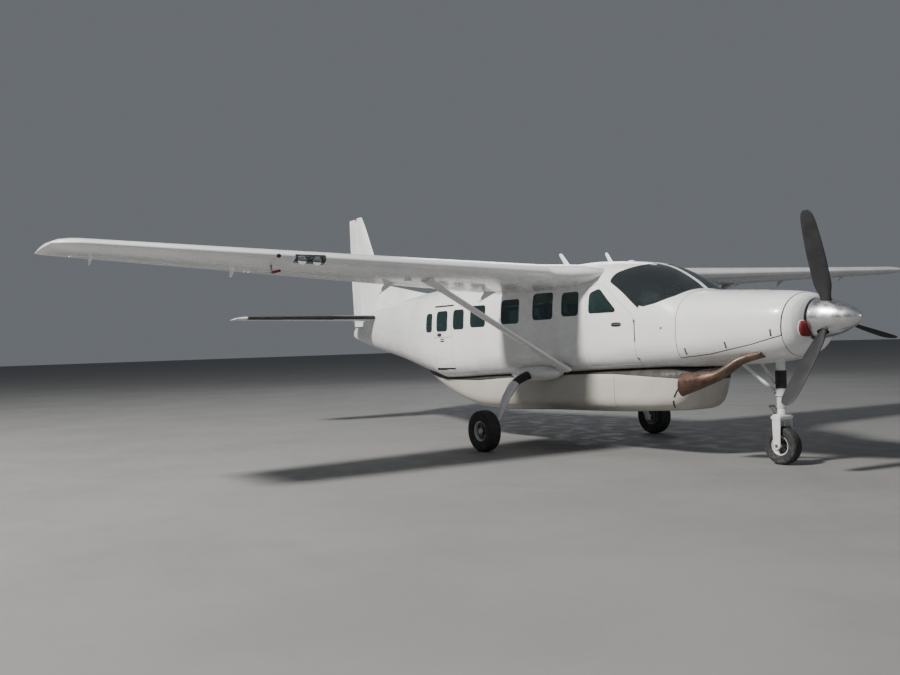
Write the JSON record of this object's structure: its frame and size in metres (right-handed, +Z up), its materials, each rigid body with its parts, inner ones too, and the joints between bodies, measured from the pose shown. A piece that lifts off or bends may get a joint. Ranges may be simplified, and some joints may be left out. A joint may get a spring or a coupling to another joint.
{
  "type": "single-engine turboprop utility aircraft",
  "caption": "High-wing utility aircraft with a strut under each wing, fixed three-wheel gear, one propeller at the nose, side doors and a cargo pod under the belly.",
  "frame": {"origin": "on the ground, on the plane of symmetry, under the middle of the overall length", "axes": "+X towards the nose, +Y to port (the longest extent, the wing span), +Z up (the shortest extent)"},
  "size_m": [12.67, 15.88, 4.5],
  "materials": {
    "airframe_paint": "gloss",
    "tail_paint": "gloss",
    "wing_paint": "gloss",
    "pod_paint": "gloss",
    "gear_paint": "satin",
    "tyre": "matte",
    "engine_metal": "satin",
    "exhaust_metal": "satin",
    "spinner_metal": "polished",
    "blade_paint": "satin",
    "cabin_trim": "matte",
    "seat_cloth": "matte",
    "window_glass": "gloss"
  },
  "bodies": {
    "root": {"cabin_shell": "airframe_paint", "tail_cone": "tail_paint", "cabin_floor": "cabin_trim", "instrument_panel": "cabin_trim", "passenger_seats": "seat_cloth", "crew_seat_left": "seat_cloth", "crew_seat_right": "seat_cloth", "nose_bowl": "airframe_paint", "cowl_lower": "airframe_paint", "engine_block": "engine_metal", "exhaust_stack": "exhaust_metal", "fin": "tail_paint", "stabilizer": "tail_paint", "cargo_pod": "pod_paint", "nose_gear_leg": "gear_paint", "windshield_left": "window_glass", "windshield_right": "window_glass", "cabin_glass_left": "window_glass", "cabin_glass_right": "window_glass", "wing_left": "wing_paint", "wing_right": "wing_paint", "strut_left": "gear_paint", "strut_right": "gear_paint", "gear_leg_left": "gear_paint", "gear_leg_right": "gear_paint"},
    "propeller": {"spinner": "spinner_metal", "propeller_blades": "blade_paint"},
    "nose_steering": {"nose_fork": "gear_paint"},
    "nose_roller": {"nose_wheel": "gear_paint", "nose_tyre": "tyre"},
    "main_roller_left": {"main_wheel_left": "gear_paint", "main_tyre_left": "tyre"},
    "main_roller_right": {"main_wheel_right": "gear_paint", "main_tyre_right": "tyre"},
    "crew_door_body_left": {"crew_door_left": "airframe_paint", "crew_glass_left": "window_glass"},
    "crew_door_body_right": {"crew_door_right": "airframe_paint", "crew_glass_right": "window_glass"},
    "cargo_upper_body": {"cargo_door_upper": "airframe_paint", "cargo_glass": "window_glass"},
    "cargo_lower_body": {"cargo_door_lower": "airframe_paint"},
    "airstair_upper_body": {"airstair_upper": "airframe_paint", "airstair_glass": "window_glass"},
    "airstair_lower_body": {"airstair_lower": "airframe_paint"},
    "pod_door_front_body": {"pod_door_front": "pod_paint"},
    "pod_door_rear_body": {"pod_door_rear": "pod_paint"},
    "cowl_door_body_left": {"cowl_door_left": "airframe_paint"},
    "cowl_door_body_right": {"cowl_door_right": "airframe_paint"},
    "aileron_body_left": {"aileron_left": "wing_paint"},
    "aileron_body_right": {"aileron_right": "wing_paint"},
    "flap_body_left": {"flap_left": "wing_paint"},
    "flap_body_right": {"flap_right": "wing_paint"},
    "elevator_body_left": {"elevator_left": "tail_paint"},
    "elevator_body_right": {"elevator_right": "tail_paint"},
    "rudder_body": {"rudder": "tail_paint"}
  },
  "joints": [
    {"name": "propeller_spin", "type": "hinge", "parent": "root", "child": "propeller", "pos_m": [5.92, 0, 1.815], "axis": [1, 0, 0], "continuous": true},
    {"name": "nose_steer", "type": "hinge", "parent": "root", "child": "nose_steering", "pos_m": [5.195, 0, 0.69], "axis": [0, 0, 1], "range_deg": [-51.5, 51.5]},
    {"name": "nose_wheel_spin", "type": "hinge", "parent": "nose_steering", "child": "nose_roller", "pos_m": [5.195, 0, 0.24], "axis": [0, 1, 0], "continuous": true},
    {"name": "main_wheel_spin_left", "type": "hinge", "parent": "root", "child": "main_roller_left", "pos_m": [1.25, 1.78, 0.31], "axis": [0, 1, 0], "continuous": true},
    {"name": "crew_door_swing_left", "type": "hinge", "parent": "root", "child": "crew_door_body_left", "pos_m": [3.459, 0.796, 1.74], "axis": [0, 0, -1], "range_deg": [0, 85]},
    {"name": "cowl_door_lift_left", "type": "hinge", "parent": "root", "child": "cowl_door_body_left", "pos_m": [4.885, 0.029, 2.2085], "axis": [0.9977, 0, -0.0673], "range_deg": [0, 75]},
    {"name": "aileron_turn_left", "type": "hinge", "parent": "root", "child": "aileron_body_left", "pos_m": [1.1975, 6.455, 2.7583], "axis": [0.0699, 0.9962, 0.0517], "range_deg": [-16, 25]},
    {"name": "flap_turn_left", "type": "hinge", "parent": "root", "child": "flap_body_left", "pos_m": [1.065, 3.115, 2.59425], "axis": [-0.0601, -0.9969, -0.051], "range_deg": [0, 30]},
    {"name": "elevator_turn_left", "type": "hinge", "parent": "root", "child": "elevator_body_left", "pos_m": [-5.465, 1.6025, 2.22475], "axis": [0, 0.9999, 0.0151], "range_deg": [-20, 25]},
    {"name": "main_wheel_spin_right", "type": "hinge", "parent": "root", "child": "main_roller_right", "pos_m": [1.25, -1.78, 0.31], "axis": [0, 1, 0], "continuous": true},
    {"name": "crew_door_swing_right", "type": "hinge", "parent": "root", "child": "crew_door_body_right", "pos_m": [3.459, -0.796, 1.74], "axis": [0, 0, 1], "range_deg": [0, 85]},
    {"name": "cowl_door_lift_right", "type": "hinge", "parent": "root", "child": "cowl_door_body_right", "pos_m": [4.885, -0.029, 2.2085], "axis": [-0.9977, 0, 0.0673], "range_deg": [0, 75]},
    {"name": "aileron_turn_right", "type": "hinge", "parent": "root", "child": "aileron_body_right", "pos_m": [1.1975, -6.455, 2.7583], "axis": [-0.0699, 0.9962, -0.0517], "range_deg": [-16, 25]},
    {"name": "flap_turn_right", "type": "hinge", "parent": "root", "child": "flap_body_right", "pos_m": [1.065, -3.115, 2.59425], "axis": [0.0601, -0.9969, 0.051], "range_deg": [0, 30]},
    {"name": "elevator_turn_right", "type": "hinge", "parent": "root", "child": "elevator_body_right", "pos_m": [-5.465, -1.6025, 2.22475], "axis": [0, 0.9999, -0.0151], "range_deg": [-20, 25]},
    {"name": "airstair_upper_lift", "type": "hinge", "parent": "root", "child": "airstair_upper_body", "pos_m": [-1.295, -0.763, 2.303], "axis": [-0.9995, 0.0308, 0], "range_deg": [0, 90]},
    {"name": "airstair_lower_drop", "type": "hinge", "parent": "root", "child": "airstair_lower_body", "pos_m": [-1.295, -0.726, 1.175], "axis": [1, 0, 0], "range_deg": [0, 125]},
    {"name": "cargo_upper_lift", "type": "hinge", "parent": "root", "child": "cargo_upper_body", "pos_m": [-0.965, 0.764, 2.318], "axis": [0.9996, 0.03, 0], "range_deg": [0, 90]},
    {"name": "cargo_lower_swing", "type": "hinge", "parent": "root", "child": "cargo_lower_body", "pos_m": [-0.357, 0.84, 1.6], "axis": [0, 0, -1], "range_deg": [0, 120]},
    {"name": "pod_front_drop", "type": "hinge", "parent": "root", "child": "pod_door_front_body", "pos_m": [2.315, 0.564, 0.642], "axis": [-0.9997, 0.0235, 0], "range_deg": [0, 110]},
    {"name": "pod_rear_drop", "type": "hinge", "parent": "root", "child": "pod_door_rear_body", "pos_m": [0.355, 0.599, 0.642], "axis": [-0.9999, 0.0118, 0], "range_deg": [0, 110]},
    {"name": "rudder_turn", "type": "hinge", "parent": "root", "child": "rudder_body", "pos_m": [-5.845, 0, 3.2725], "axis": [-0.1233, 0, 0.9924], "range_deg": [-25, 25]}
  ],
  "couplings": [
    {"joint": "flap_turn_right", "follows": "flap_turn_left", "ratio": 1},
    {"joint": "elevator_turn_right", "follows": "elevator_turn_left", "ratio": 1}
  ]
}
